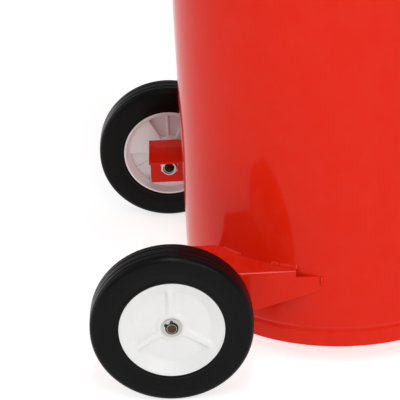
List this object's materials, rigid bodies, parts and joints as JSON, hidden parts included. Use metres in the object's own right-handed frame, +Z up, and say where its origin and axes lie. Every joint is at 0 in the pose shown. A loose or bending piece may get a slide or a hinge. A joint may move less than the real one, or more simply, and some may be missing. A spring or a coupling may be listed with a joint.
{
  "type": "parts washer tank",
  "caption": "Round steel parts washer tank on two rear wheels and front feet, with a hinged lid, a lift-out parts basket and a drain valve.",
  "frame": {"origin": "on the floor under the tank's axis; the wheels reach as far back as the hose tail reaches forward", "axes": "+Z up along the tank's axis, +Y towards the wheels (rear), +X to the right seen from the front; the wheel axles lie along X"},
  "size_m": [0.5468, 0.6586, 1.0841],
  "materials": {
    "red_paint": "gloss",
    "zinc": "satin",
    "black_steel": "satin",
    "tyre_rubber": "matte",
    "white_plastic": "satin",
    "black_rubber": "matte",
    "brass": "satin",
    "red_plastic": "satin",
    "nylon": "satin",
    "bare_steel": "rough"
  },
  "bodies": {
    "tank": {"tank_shell": "red_paint", "tank_bottom": "red_paint", "basket_ledge": "red_paint", "left_wheel_bracket": "red_paint", "right_wheel_bracket": "red_paint", "left_axle": "zinc", "right_axle": "zinc", "axle_outer_washers": "zinc", "snap_rings": "black_steel", "axle_inner_washers": "zinc", "axle_lock_nuts": "zinc", "left_front_leg": "red_paint", "right_front_leg": "red_paint", "foot_pads": "black_rubber", "foot_bolts": "zinc", "foot_nuts": "zinc", "drain_bung": "red_paint", "drain_nipple": "brass", "valve_body": "brass", "hose_tail": "brass", "push_handle": "black_steel", "handle_grip": "black_rubber", "left_handle_socket": "red_paint", "right_handle_socket": "red_paint", "handle_bolts": "zinc", "handle_nuts": "zinc", "left_hinge_bracket": "red_paint", "right_hinge_bracket": "red_paint", "left_hinge_pin": "zinc", "right_hinge_pin": "zinc", "prop_bracket": "red_paint", "prop_pivot_bolt": "zinc", "prop_rest": "red_paint"},
    "left_wheel": {"left_tyre": "tyre_rubber", "left_hub": "white_plastic"},
    "right_wheel": {"right_tyre": "tyre_rubber", "right_hub": "white_plastic"},
    "valve_handle": {"valve_ball": "zinc", "valve_stem": "brass", "valve_lever": "zinc", "lever_sleeve": "red_plastic", "lever_nut": "zinc"},
    "lid_assembly": {"lid": "red_paint", "lid_gasket": "black_rubber", "lid_handle": "zinc", "lid_handle_screws": "zinc", "lid_catch_stud": "zinc", "left_hinge_strap": "red_paint", "right_hinge_strap": "red_paint"},
    "lid_prop": {"prop_arm": "zinc", "prop_tip": "zinc", "fusible_link": "brass", "link_rivets": "zinc"},
    "parts_basket": {"basket": "zinc", "basket_rim": "zinc"},
    "bail": {"basket_bail": "zinc"}
  },
  "joints": [
    {"name": "left_wheel_spin", "type": "hinge", "parent": "tank", "child": "left_wheel", "pos_m": [-0.25145, 0.2277, 0.1016], "axis": [1, 0, 0], "continuous": true},
    {"name": "right_wheel_spin", "type": "hinge", "parent": "tank", "child": "right_wheel", "pos_m": [0.25145, 0.2277, 0.1016], "axis": [1, 0, 0], "continuous": true},
    {"name": "lid_hinge", "type": "hinge", "parent": "tank", "child": "lid_assembly", "pos_m": [0, 0.232, 0.636], "axis": [1, 0, 0], "range_deg": [0, 95]},
    {"name": "lid_prop_swing", "type": "hinge", "parent": "tank", "child": "lid_prop", "pos_m": [0.2235, 0.075, 0.606], "axis": [-1, 0, 0], "range_deg": [0, 94]},
    {"name": "basket_lift", "type": "slide", "parent": "tank", "child": "parts_basket", "axis": [0, 0, 1], "range_m": [0, 0.2]},
    {"name": "bail_swing", "type": "hinge", "parent": "parts_basket", "child": "bail", "pos_m": [0, 0, 0.612], "axis": [-1, 0, 0], "range_deg": [0, 180]},
    {"name": "drain_lever", "type": "hinge", "parent": "tank", "child": "valve_handle", "pos_m": [0, -0.266, 0.076], "axis": [0, 0, -1], "range_deg": [0, 90]}
  ]
}
